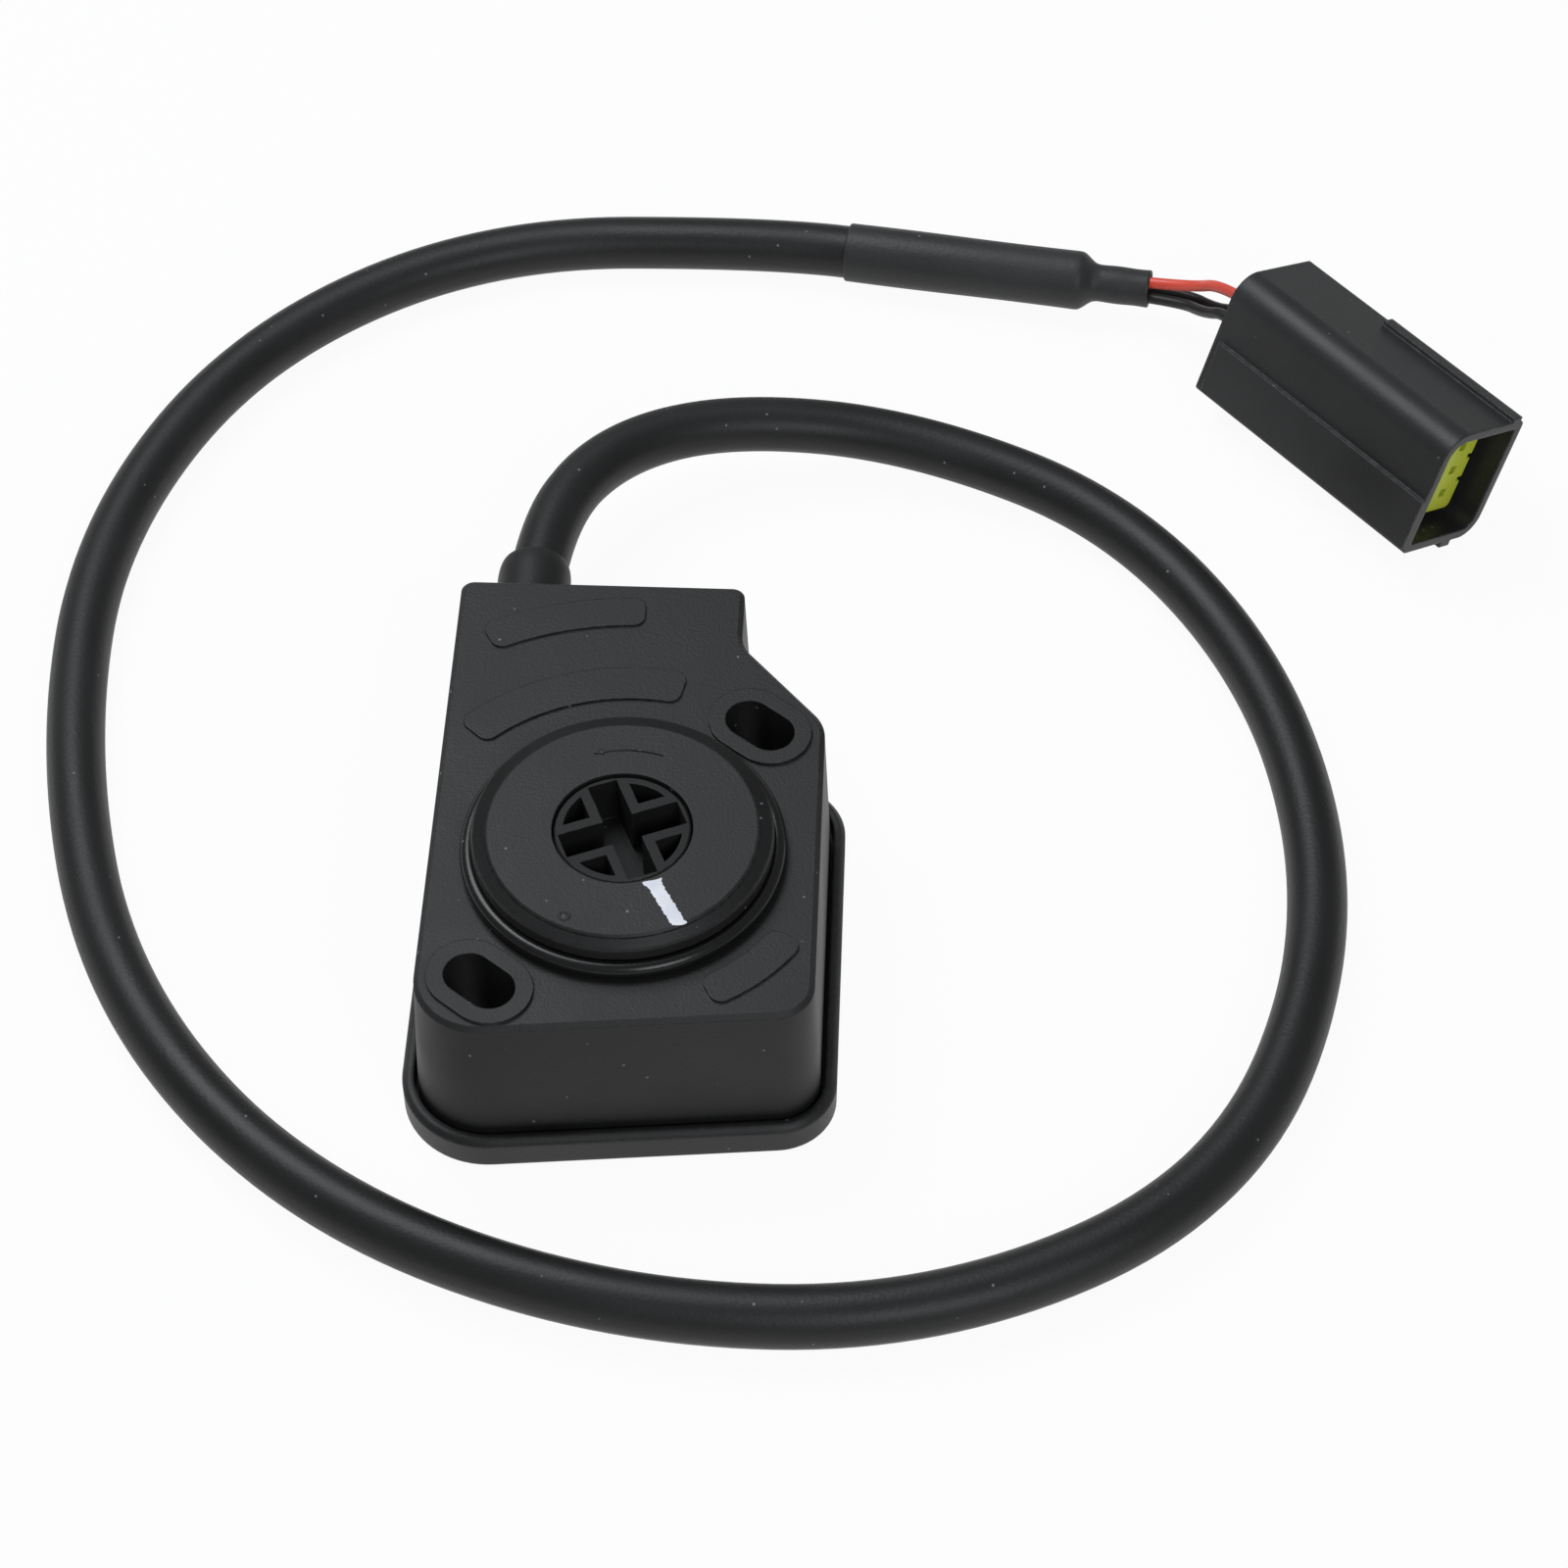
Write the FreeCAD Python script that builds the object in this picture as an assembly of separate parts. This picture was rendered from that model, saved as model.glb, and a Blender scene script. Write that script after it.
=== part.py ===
# Accelerator pedal position sensor with its cable and plug, in millimetres.
# The origin is the point of the base plane under the rotor axis; +Z runs up the pilot, +Y to the cable.
import FreeCAD, Part
import os
from math import cos, hypot, pi, radians, sin, tan

Vector = FreeCAD.Vector
UP = Vector(0, 0, 1)
REARWARD = Vector(0, 1, 0)
PLUGWARD = Vector(1, 0, 0)
same_place = 1e-6

# Heights above the base plane
base_floor = 2.0
lip_height = 5.0
face_height = 24.9
pilot_height = 4.8

# Housing outline on the mounting face
left_side = -24.5
right_side = 24.7
rear_side = 46.1
neck_side = 13.3
neck_foot = 35.8
shoulder = 22.5
front_middle = -26.9
front_slope = 5.5
front_left_round = 8.3
front_right_round = 5.0
shoulder_round = 6.0
neck_round = 4.6
rear_round = 1.7
least_round = 0.4

# Housing walls
wall = 2.2
roof = 2.6
draft = 1.0
face_chamfer = 0.6

# Base cover
lip_gap = 0.4
lip_wall = 1.5
lip_chamfer = 0.7
cover_foot_chamfer = 0.5
cover_seal_depth = 0.8
cover_seal_inset = 0.6

# Mounting slots, one each side of the rotor axis
slot_x = 16.3
slot_y = 21.25
slot_angle = -37.5
slot_width = 6.2
slot_length = 9.8
slot_pad_border = 2.2
slot_pad_rise = 0.45
column_wall = 1.8

# Raised label pads: inner radius, outer radius, first angle, last angle
label_pads = [(38.3, 43.2, 89.5, 119.5), (25.4, 30.8, 77.5, 137.5), (22.4, 27.0, -62.0, -31.0)]
label_pad_rise = 0.35
label_pad_round = 1.6

# Pilot boss and its seal ring
pilot_radius = 19.0
pilot_ledge_width = 1.8
pilot_ledge_drop = 0.5
pilot_chamfer = 0.3
pilot_wall = 2.8
pilot_roof = 2.7
ring_section = 2.4
ring_sides = 10
ring_stand_out = 1.6
ring_groove_play = 0.1

# Rotor in its hub
rotor_radius = 8.6
rotor_gap = 0.25
rotor_sink = 0.3
hub_wall = 2.4
journal_radius = 6.0
journal_clearance = 0.03
bush_height = 3.5
bush_wall = 3.6
bush_top = 18.6
end_play = 0.1
rotor_seal_section = 1.8
rotor_seal_rise = 0.8
rotor_seal_clearance = 0.06
rotor_chamfer = 0.25

# Cross socket and the four corner pockets of the rotor
socket_floor = 1.0
socket_arm_width = 3.8
socket_span = 15.8
socket_turn = 22.5
pocket_wall = 1.3
pocket_rim = 1.1
pocket_depth = 5.5

# Wiper carrier on the journal's flats, its retaining ring and the return spring
flat_distance = 5.0
carrier_gap = 0.3
carrier_height = 2.6
carrier_margin = 0.4
carrier_clearance = 0.05
clip_height = 0.8
clip_play = 0.1
clip_groove = 1.3
clip_width = 2.4
clip_mouth = 4.0
journal_tail = 1.0
spring_wire = 0.5
spring_gap = 0.9
spring_turns = 1
spring_growth = 1.4
spring_height = 3.0
spring_foot_rise = 1.1
spring_leg_radius = 0.6
spring_leg_play = 0.15
spring_leg_depth = 1.6

# Circuit board, tracks and wiper
board_top = 7.0
board_thickness = 1.6
board_clearance = 1.0
board_corner = 1.5
board_rear = 34.5
track_radii = [8.6, 11.4]
track_width = 1.6
track_rise = 0.1
track_middle = -55.0
track_half_angle = 75.0
wiper_lift = 0.25
wiper_strip = 0.25
wiper_width = 1.3
wiper_foot = 3.4
wiper_reach = 5.2
post_places = [(-18.3, 6.0), (18.3, -7.0), (-3.5, 30.0)]
post_radius = 2.3
screw_radius = 0.9
screw_grip = 6.0
screw_head_radius = 1.8
screw_head_height = 1.3
screw_clearance = 0.1

# Cable, gland and inner leads
cable_radius = 3.95
cable_sides = 12
cable_x = -16.3
cable_height = 13.0
gland_radius = 5.05
gland_play = 0.05
gland_reach = 13.4
gland_dome = 3.4
gland_dome_step = 0.25
gland_flare = 0.4
gland_flare_length = 7.0
gland_lip = 0.25
gland_flange = 1.5
gland_flange_radius = 6.0
gland_seat = 1.2
gland_seat_radius = 7.4
lead_radius = 0.75
lead_sides = 8
lead_spread = 2.0
lead_run = 3.6
terminal_radius = 0.6
terminal_rise = 2.0
terminal_row = 31.0

# Cable route: straight out of the gland, down to the surface, round the sensor and to the sleeve
cable_route = [
    Vector(-16.3, 44.0, 13.0),
    Vector(-16.3, 64.5, 13.0),
    Vector(-7.5, 82.5, 12.0),
    Vector(9.0, 93.5, 9.5),
    Vector(35.0, 95.5, 6.0),
    Vector(66.5, 81.0, 4.2),
    Vector(87.0, 47.0, 4.0),
    Vector(91.0, 5.5, 4.0),
    Vector(77.0, -34.0, 4.0),
    Vector(40.5, -54.5, 4.0),
    Vector(-1.0, -54.5, 4.0),
    Vector(-39.5, -39.0, 4.0),
    Vector(-66.5, -8.5, 4.0),
    Vector(-78.5, 32.0, 4.0),
    Vector(-80.0, 73.5, 4.0),
    Vector(-63.5, 112.0, 4.0),
    Vector(-30.0, 136.0, 4.0),
    Vector(13.5, 137.4, 4.1),
    Vector(58.0, 129.3, 5.6),
]
arc_share = 0.45

# Shrink sleeve over the cable's end
sleeve_wall = 0.3
sleeve_play = 0.2
sleeve_cover = 33.5
sleeve_overhang = 2.0
sleeve_taper = 2.6
sleeve_neck = 8.2
sleeve_neck_wall = 0.5

# Wires between the sleeve and the plug
wire_radius = 1.0
wire_sides = 8
wire_play = 0.05
wire_nest = 1.2
wire_lead_out = 5.6
wire_lead_in = 5.6
wire_nest_angles = [330, 210, 90]

# Plug: its axis leaves the rear face towards the mouth
plug_length = 43.0
plug_height = 19.8
plug_depth = 16.3
plug_wall = 1.3
plug_yaw = -49.0
plug_roll = -20.6
plug_rear_x = 85.1
plug_rear_y = 114.2
plug_floor_gap = 0.05
plug_round = 4.0
plug_lower_round = 3.4
plug_small_round = 0.9
plug_panel_rise = 0.6
plug_panel_edge = -0.8
plug_panel_set_back = 1.2
plug_rail_width = 1.8
plug_rail_rise = 0.7
plug_rail_length = 26.0
plug_key_length = 3.0
plug_key_rise = 0.9
plug_key_width = 2.2
plug_key_offset = 2.0
plug_cavity = 20.0

# Contact block of the plug, its lock, contacts, seals and blanks
way_pitch = 4.0
way_columns = 3
way_rows = 2
way_width = 2.0
block_margin = 1.2
block_play = 0.05
block_set_back = 5.0
lock_wall = 0.7
lock_play = 0.05
lock_face = 1.2
lock_length = 7.5
lock_window = 1.3
lock_notch = 0.8
lock_round = 0.9
contact_play = 0.1
contact_length = 16.0
contact_mouth = 8.0
contact_barrel = 5.0
strand_radius = 0.6
contact_wall = 0.25
contact_set_back = 0.6
seal_radius = 1.7
seal_length = 5.0
seal_play = 0.04
wire_grip = 7.0

# Sizes worked out from the values above
roof_underside = face_height - roof
roof_middle = face_height - roof / 2
pilot_top = face_height + pilot_height
hub_bore = rotor_radius + rotor_gap
hub_radius = hub_bore + hub_wall
bush_bottom = bush_top - bush_height
bush_bore = journal_radius + journal_clearance
bush_radius = bush_bore + bush_wall
head_bottom = bush_top + end_play
rotor_top = pilot_top - rotor_sink
rotor_seal_centre = hub_bore - rotor_seal_clearance - rotor_seal_section / 2
rotor_seal_height = head_bottom + rotor_seal_rise + rotor_seal_section / 2
socket_bottom = rotor_seal_height + rotor_seal_section / 2 + socket_floor
carrier_top = bush_bottom - carrier_gap
carrier_bottom = carrier_top - carrier_height
clip_top = carrier_bottom - clip_play
clip_bottom = clip_top - clip_height
journal_bottom = clip_bottom - clip_play - journal_tail
clip_bore = journal_radius - clip_groove
spring_radius = hub_radius + spring_gap + spring_wire / 2
carrier_radius = spring_radius + spring_turns * spring_growth + carrier_margin
spring_bottom = bush_bottom + spring_foot_rise
pilot_core = pilot_radius - pilot_wall
pilot_core_top = pilot_top - pilot_roof
board_bottom = board_top - board_thickness
rear_wall_inside = rear_side - wall
gland_seat_face = rear_wall_inside - gland_seat
gland_inner_end = gland_seat_face - gland_flange
gland_outer_end = rear_side + gland_reach
gland_bore = cable_radius + gland_play
slot_half_straight = (slot_length - slot_width) / 2
column_reach_x = slot_half_straight * cos(radians(slot_angle)) + slot_width / 2 + column_wall
column_reach_y = slot_half_straight * abs(sin(radians(slot_angle))) + slot_width / 2 + column_wall
sleeve_axis = (cable_route[-1] - cable_route[-2]).normalize()
sleeve_start = cable_route[-1] - sleeve_axis * sleeve_cover
sleeve_shoulder = sleeve_cover + sleeve_overhang
sleeve_end = sleeve_shoulder + sleeve_taper + sleeve_neck
wire_bundle_radius = wire_nest + wire_radius + wire_play


def cylinder(radius, bottom, top, x=0.0, y=0.0):
    return Part.makeCylinder(radius, top - bottom, Vector(x, y, bottom), UP)


def rear_bar(radius, start, end):
    """Round bar on the cable's axis in the rear wall."""
    return Part.makeCylinder(radius, end - start, Vector(cable_x, start, cable_height), REARWARD)


def plug_bar(radius, start, length, across, up):
    """Round bar along one way of the plug, in the plug's own axes."""
    return Part.makeCylinder(radius, length, Vector(start, across, up), PLUGWARD)


def ring(inner, outer, bottom, top):
    return cylinder(outer, bottom, top).cut(cylinder(inner, bottom, top))


def turned(profile, centre, direction):
    """Solid of revolution: (along, radius) pairs turned about an axis through centre."""
    points = [Vector(radius, 0, along) for along, radius in profile]
    face = Part.Face(Part.makePolygon(points + points[:1]))
    solid = face.revolve(Vector(0, 0, 0), UP, 360)
    turn = FreeCAD.Rotation(UP, direction)
    return solid.transformed(FreeCAD.Placement(centre, turn).toMatrix(), copy=True)


def flat_edges(shape, height):
    """Edges that lie wholly in the plane at one height."""
    level = []
    for edge in shape.Edges:
        limits = edge.BoundBox
        if max(abs(limits.ZMin - height), abs(limits.ZMax - height)) < same_place:
            level.append(edge)
    return level


def upright_edges(shape):
    """Straight edges along Z."""
    found = []
    for edge in shape.Edges:
        first, last = edge.Vertexes[0].Point, edge.Vertexes[-1].Point
        if hypot(first.x - last.x, first.y - last.y) < same_place < abs(first.z - last.z):
            found.append(edge)
    return found


def body_corners():
    """Corners of the housing on its face, anticlockwise, each with its radius; a hollow corner has a minus."""
    slope = tan(radians(front_slope))
    return [
        (left_side, front_middle + slope * left_side, front_left_round),
        (right_side, front_middle + slope * right_side, front_right_round),
        (right_side, shoulder, shoulder_round),
        (neck_side, neck_foot, -neck_round),
        (neck_side, rear_side, rear_round),
        (left_side, rear_side, rear_round),
    ]


def grown(corners, growth):
    """The same outline moved outwards by growth, with its rounds kept concentric."""
    count = len(corners)
    normals = []
    for i in range(count):
        x0, y0, _ = corners[i]
        x1, y1, _ = corners[(i + 1) % count]
        length = hypot(x1 - x0, y1 - y0)
        normals.append(((y1 - y0) / length, (x0 - x1) / length))
    moved = []
    for i in range(count):
        x, y, r = corners[i]
        (ax, ay), (bx, by) = normals[i - 1], normals[i]
        share = growth / (1 + ax * bx + ay * by)
        reach = max(abs(r) + (growth if r > 0 else -growth), least_round)
        moved.append((x + share * (ax + bx), y + share * (ay + by), reach))
    return moved


def rounded_wire(corners, height):
    """Closed wire of straight sides and tangent arcs at one height."""
    count = len(corners)
    bends = []
    for i in range(count):
        x, y, radius = corners[i]
        here = Vector(x, y, height)
        back = (Vector(corners[i - 1][0], corners[i - 1][1], height) - here).normalize()
        ahead = corners[(i + 1) % count]
        on = (Vector(ahead[0], ahead[1], height) - here).normalize()
        half = back.getAngle(on) / 2
        inward = (back + on).normalize()
        reach = radius / tan(half)
        middle = here + inward * (radius / sin(half) - radius)
        bends.append((here + back * reach, middle, here + on * reach))
    edges = []
    for i in range(count):
        start, middle, end = bends[i]
        edges.append(Part.Arc(start, middle, end).toShape())
        edges.append(Part.LineSegment(end, bends[(i + 1) % count][0]).toShape())
    return Part.Wire(edges)


def prism(growth, bottom, top):
    """Upright block with the body's outline grown by growth."""
    face = Part.Face(rounded_wire(grown(body_corners(), growth), bottom))
    return face.extrude(Vector(0, 0, top - bottom))


def drafted_block(foot_growth, foot, top_growth, top):
    """Block with the body's outline that leans in from its foot to its top."""
    corners = body_corners()
    lower = rounded_wire(grown(corners, foot_growth), foot)
    upper = rounded_wire(grown(corners, top_growth), top)
    return Part.makeLoft([lower, upper], True, True)


def slot_blocks(growth, bottom, top):
    """The two mounting slots as solids, grown all round by growth."""
    radius = slot_width / 2 + growth
    along = Vector(cos(radians(slot_angle)), sin(radians(slot_angle)), 0)
    across = Vector(-along.y, along.x, 0)
    blocks = []
    for side in (1, -1):
        centre = Vector(side * slot_x, side * slot_y, bottom)
        first, last = centre - along * slot_half_straight, centre + along * slot_half_straight
        edges = [
            Part.LineSegment(first - across * radius, last - across * radius).toShape(),
            Part.Arc(last - across * radius, last + along * radius, last + across * radius).toShape(),
            Part.LineSegment(last + across * radius, first + across * radius).toShape(),
            Part.Arc(first + across * radius, first - along * radius, first - across * radius).toShape(),
        ]
        blocks.append(Part.Face(Part.Wire(edges)).extrude(Vector(0, 0, top - bottom)))
    return blocks


def sector(inner, outer, first_angle, last_angle, bottom, top):
    """Part of a flat ring about the rotor axis, between two angles."""
    points = [Vector(inner, 0, bottom), Vector(outer, 0, bottom), Vector(outer, 0, top), Vector(inner, 0, top)]
    face = Part.Face(Part.makePolygon(points + points[:1]))
    face.rotate(Vector(0, 0, 0), UP, first_angle)
    return face.revolve(Vector(0, 0, 0), UP, last_angle - first_angle)


def box(low, high):
    size = high - low
    return Part.makeBox(size.x, size.y, size.z, low)


def chamfer_flat(shape, size, height):
    return shape.makeChamfer(size, flat_edges(shape, height))


def route_path(points):
    """Straight runs joined by tangent arcs as large as the runs allow; returns the wire and the radii."""
    edges, radii = [], []
    start = points[0]
    for before, here, after in zip(points, points[1:], points[2:]):
        back, on = before - here, after - here
        half = back.getAngle(on) / 2
        reach = arc_share * min(back.Length, on.Length)
        radius = reach * tan(half)
        back.normalize()
        on.normalize()
        inward = (back + on).normalize()
        middle = here + inward * (radius / sin(half) - radius)
        edges.append(Part.LineSegment(start, here + back * reach).toShape())
        edges.append(Part.Arc(here + back * reach, middle, here + on * reach).toShape())
        start = here + on * reach
        radii.append(radius)
    edges.append(Part.LineSegment(start, points[-1]).toShape())
    return Part.Wire(edges), radii


def tube(points, radius, sides):
    """Cord along a route; its section is an even polygon with corners on the circle."""
    path, radii = route_path(points)
    first = (points[1] - points[0]).normalize()
    across = first.cross(UP).normalize()
    over = across.cross(first)
    corners = []
    for step in range(sides):
        turn = 2 * pi * (step + 0.5) / sides
        corners.append(points[0] + across * (radius * cos(turn)) + over * (radius * sin(turn)))
    section = Part.makePolygon(corners + corners[:1])
    solid = path.makePipeShell([section], True, False)
    return solid, path, radii


def pilot_boss():
    """Stepped pilot with a groove for the seal ring at its foot."""
    ledge_top = pilot_top - pilot_ledge_drop
    lower = chamfer_flat(cylinder(pilot_radius, roof_underside, ledge_top), pilot_chamfer, ledge_top)
    disc = cylinder(pilot_radius - pilot_ledge_width, roof_underside, pilot_top)
    disc = chamfer_flat(disc, pilot_chamfer, pilot_top)
    groove_floor = pilot_radius + ring_stand_out - ring_section
    groove_top = face_height + ring_section + ring_groove_play
    groove = ring(groove_floor, pilot_radius + ring_section, face_height, groove_top)
    return lower.fuse(disc).cut(groove)


def make_housing():
    body = drafted_block(draft, base_floor, 0.0, face_height)
    body = chamfer_flat(body, face_chamfer, face_height)
    cavity = drafted_block(draft - wall, base_floor, -wall, roof_underside)
    body = body.cut(cavity)
    pads = slot_blocks(slot_pad_border, roof_underside, face_height + slot_pad_rise)
    for inner, outer, first_angle, last_angle in label_pads:
        pad = sector(inner, outer, first_angle, last_angle, roof_middle, face_height + label_pad_rise)
        pads.append(pad.makeFillet(label_pad_round, upright_edges(pad)))
    columns = slot_blocks(column_wall, base_floor, face_height)
    posts = [cylinder(post_radius, board_top, roof_middle, x, y) for x, y in post_places]
    hub = cylinder(hub_radius, bush_bottom, pilot_top - pilot_roof / 2)
    seat = rear_bar(gland_seat_radius, gland_seat_face, rear_wall_inside + wall / 2)
    body = body.fuse([pilot_boss(), seat] + pads + columns + posts)
    core = cylinder(pilot_core, roof_underside - roof, pilot_core_top)
    body = body.cut(core).fuse(hub)
    cuts = slot_blocks(0.0, base_floor - wall, pilot_top)
    cuts.append(cylinder(hub_bore, bush_bottom, pilot_top + wall))
    cuts.append(cylinder(bush_radius, bush_bottom - wall, bush_top))
    cuts.append(rear_bar(gland_radius + gland_play, gland_seat_face, gland_outer_end))
    for x, y in post_places:
        cuts.append(cylinder(screw_radius, board_top, board_top + screw_grip, x, y))
    leg_radius = spring_leg_radius + spring_leg_play
    leg_top = pilot_core_top + spring_leg_depth + spring_leg_play
    cuts.append(cylinder(leg_radius, pilot_core_top - wall, leg_top, *spring_end_place()))
    return body.cut(cuts).removeSplitter()


def make_base_cover():
    outside = draft + lip_gap + lip_wall
    tray = prism(outside, 0.0, lip_height)
    tray = chamfer_flat(tray, lip_chamfer, lip_height)
    tray = chamfer_flat(tray, cover_foot_chamfer, 0.0)
    pocket = prism(draft + lip_gap, base_floor, lip_height + lip_wall)
    return tray.cut([pocket, cover_seal_band()] + slot_blocks(0.0, -lip_wall, lip_height))


def cover_seal_band():
    """Rubber band under the foot of the housing's wall."""
    outer = prism(draft - cover_seal_inset, base_floor - cover_seal_depth, base_floor)
    return outer.cut(prism(draft - wall + cover_seal_inset, base_floor - cover_seal_depth, base_floor))


def make_pilot_ring():
    """Seal ring of round section, drawn as an even polygon that stands on the face."""
    radius = ring_section / 2
    centre = pilot_radius + ring_stand_out - radius
    profile = []
    for step in range(ring_sides):
        turn = 2 * pi * (step + 0.5) / ring_sides
        profile.append((radius * cos(turn), centre + radius * sin(turn)))
    low = min(along for along, _ in profile)
    return turned(profile, Vector(0, 0, face_height - low), UP)


def make_rotor_bush():
    return ring(bush_bore, bush_radius, bush_bottom, bush_top)


def cross_socket():
    """Two crossed slots from the socket floor up through the rotor's face."""
    arms = []
    for quarter in (0, 90):
        low = Vector(-socket_span / 2, -socket_arm_width / 2, socket_bottom)
        arm = box(low, Vector(-low.x, -low.y, rotor_top + wall))
        arm.rotate(Vector(0, 0, 0), UP, socket_turn + quarter)
        arms.append(arm)
    return arms


def corner_pockets():
    """Quarter pockets between the cross walls and the rotor's rim."""
    near = socket_arm_width / 2 + pocket_wall
    floor, above = rotor_top - pocket_depth, rotor_top + wall
    quarter = box(Vector(near, near, floor), Vector(rotor_radius, rotor_radius, above))
    rim = cylinder(rotor_radius - pocket_rim, floor, above)
    pockets = []
    for turn in range(4):
        pocket = quarter.common(rim)
        pocket.rotate(Vector(0, 0, 0), UP, socket_turn + 90 * turn)
        pockets.append(pocket)
    return pockets


def flat_cuts(distance, bottom, top):
    """Two blocks that leave a bar with flats at plus and minus distance."""
    cuts = []
    past = 2 * journal_radius
    for side in (1, -1):
        near, far = sorted((side * distance, side * past))
        cuts.append(box(Vector(-past, near, bottom), Vector(past, far, top)))
    return cuts


def make_rotor():
    head = chamfer_flat(cylinder(rotor_radius, head_bottom, rotor_top), rotor_chamfer, rotor_top)
    journal = cylinder(journal_radius, journal_bottom, head_bottom)
    journal = journal.cut(flat_cuts(flat_distance, journal_bottom, bush_bottom))
    groove = ring(clip_bore, 2 * journal_radius, clip_bottom - clip_play, carrier_bottom)
    half_seal = rotor_seal_section / 2
    seal_floor = rotor_seal_centre - half_seal
    seal_groove = ring(seal_floor, hub_radius, rotor_seal_height - half_seal, rotor_seal_height + half_seal)
    return head.fuse(journal).cut([groove, seal_groove] + cross_socket() + corner_pockets())


def make_rotor_seal():
    half = rotor_seal_section / 2
    inner, outer = rotor_seal_centre - half, rotor_seal_centre + half
    return ring(inner, outer, rotor_seal_height - half, rotor_seal_height + half)


def make_wiper_carrier():
    disc = cylinder(carrier_radius, carrier_bottom, carrier_top)
    bore = cylinder(journal_radius + carrier_clearance, carrier_bottom, carrier_top)
    bore = bore.cut(flat_cuts(flat_distance + carrier_clearance, carrier_bottom, carrier_top))
    hole = cylinder(spring_leg_radius + spring_leg_play, carrier_bottom, carrier_top, spring_radius, 0.0)
    return disc.cut([bore, hole])


def make_retaining_clip():
    clip = ring(clip_bore, clip_bore + clip_width, clip_bottom, clip_top)
    outer = clip_bore + clip_width
    mouth = box(Vector(0, -clip_mouth / 2, clip_bottom), Vector(2 * outer, clip_mouth / 2, clip_top))
    return clip.cut(mouth)


def spring_end_place():
    """Plan place of the spiral's outer end, on the far side of the axis from its inner end."""
    return -(spring_radius + spring_turns * spring_growth), 0.0


def make_return_spring():
    """Flat spiral of half turns round the hub, with a leg down to the carrier and a leg up to the roof."""
    top = spring_bottom + spring_height
    strips = []
    for half in range(2 * spring_turns + 1):
        odd = half % 2
        radius = spring_radius + half * spring_growth / 2
        inner, outer = radius - spring_wire / 2, radius + spring_wire / 2
        strip = sector(inner, outer, 180 * odd, 180 * odd + 180, spring_bottom, top)
        strip.translate(Vector(odd * spring_growth / 2, 0, 0))
        strips.append(strip)
    end_x, end_y = spring_end_place()
    legs = [cylinder(spring_leg_radius, carrier_bottom, top, spring_radius, 0.0)]
    legs.append(cylinder(spring_leg_radius, spring_bottom, pilot_core_top + spring_leg_depth, end_x, end_y))
    return strips[0].fuse(strips[1:] + legs).removeSplitter()


def make_circuit_board():
    left = left_side + wall + board_clearance
    right = right_side - wall - board_clearance
    front = column_reach_y - slot_y + board_clearance
    step_x = slot_x - column_reach_x - board_clearance
    corners = [
        (left, front, board_corner),
        (right, front, board_corner),
        (right, -front, board_corner),
        (step_x, -front, board_corner),
        (step_x, board_rear, board_corner),
        (left, board_rear, board_corner),
    ]
    board = Part.Face(rounded_wire(corners, board_bottom)).extrude(Vector(0, 0, board_thickness))
    holes = [cylinder(screw_radius + screw_clearance, board_bottom, board_top, x, y) for x, y in post_places]
    holes += [cylinder(terminal_radius, board_bottom, board_top, x, terminal_row) for x in terminal_columns()]
    return board.cut(holes)


def make_resistor_tracks():
    tracks = []
    for radius in track_radii:
        inner, outer = radius - track_width / 2, radius + track_width / 2
        first, last = track_middle - track_half_angle, track_middle + track_half_angle
        tracks.append(sector(inner, outer, first, last, board_top, board_top + track_rise))
    return Part.makeCompound(tracks)


def make_wiper():
    """Bent strip under the carrier with one finger for each track."""
    low = board_top + track_rise + wiper_lift
    line = [(-wiper_foot, carrier_bottom), (0.0, carrier_bottom), (wiper_reach, low + wiper_strip)]
    under = [(x, z - wiper_strip) for x, z in reversed(line)]
    outline = [Vector(x, 0, z) for x, z in line + under]
    profile = Part.Face(Part.makePolygon(outline + outline[:1]))
    fingers = []
    for radius in track_radii:
        finger = profile.extrude(Vector(0, wiper_width, 0))
        finger.translate(Vector(0, -radius - wiper_width / 2, 0))
        fingers.append(finger)
    foot_low = Vector(-wiper_foot, -max(track_radii) - wiper_width / 2, carrier_bottom - wiper_strip)
    foot_high = Vector(0.0, wiper_width / 2 - min(track_radii), carrier_bottom)
    return box(foot_low, foot_high).fuse(fingers).removeSplitter()


def make_board_screws():
    screws = []
    for x, y in post_places:
        shank = cylinder(screw_radius, board_bottom, board_top + screw_grip, x, y)
        head = cylinder(screw_head_radius, board_bottom - screw_head_height, board_bottom, x, y)
        screws.append(shank.fuse(head))
    return Part.makeCompound(screws)


def terminal_columns():
    return [cable_x + lead_spread * step for step in (-1, 0, 1)]


def make_board_terminals():
    low = board_bottom - board_thickness / 2
    high = board_top + terminal_rise
    return Part.makeCompound([cylinder(terminal_radius, low, high, x, terminal_row) for x in terminal_columns()])


def make_inner_leads():
    """Three leads from the cable's end, out along its axis and down onto the board terminals."""
    leads = []
    for x in terminal_columns():
        start = Vector(x, cable_route[0].y, cable_height)
        bend = Vector(x, gland_inner_end - lead_run, cable_height)
        drop = Vector(x, terminal_row, cable_height - lead_run)
        foot = Vector(x, terminal_row, board_top + terminal_rise)
        leads.append(tube([start, bend, drop, foot], lead_radius, lead_sides)[0])
    return leads


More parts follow.
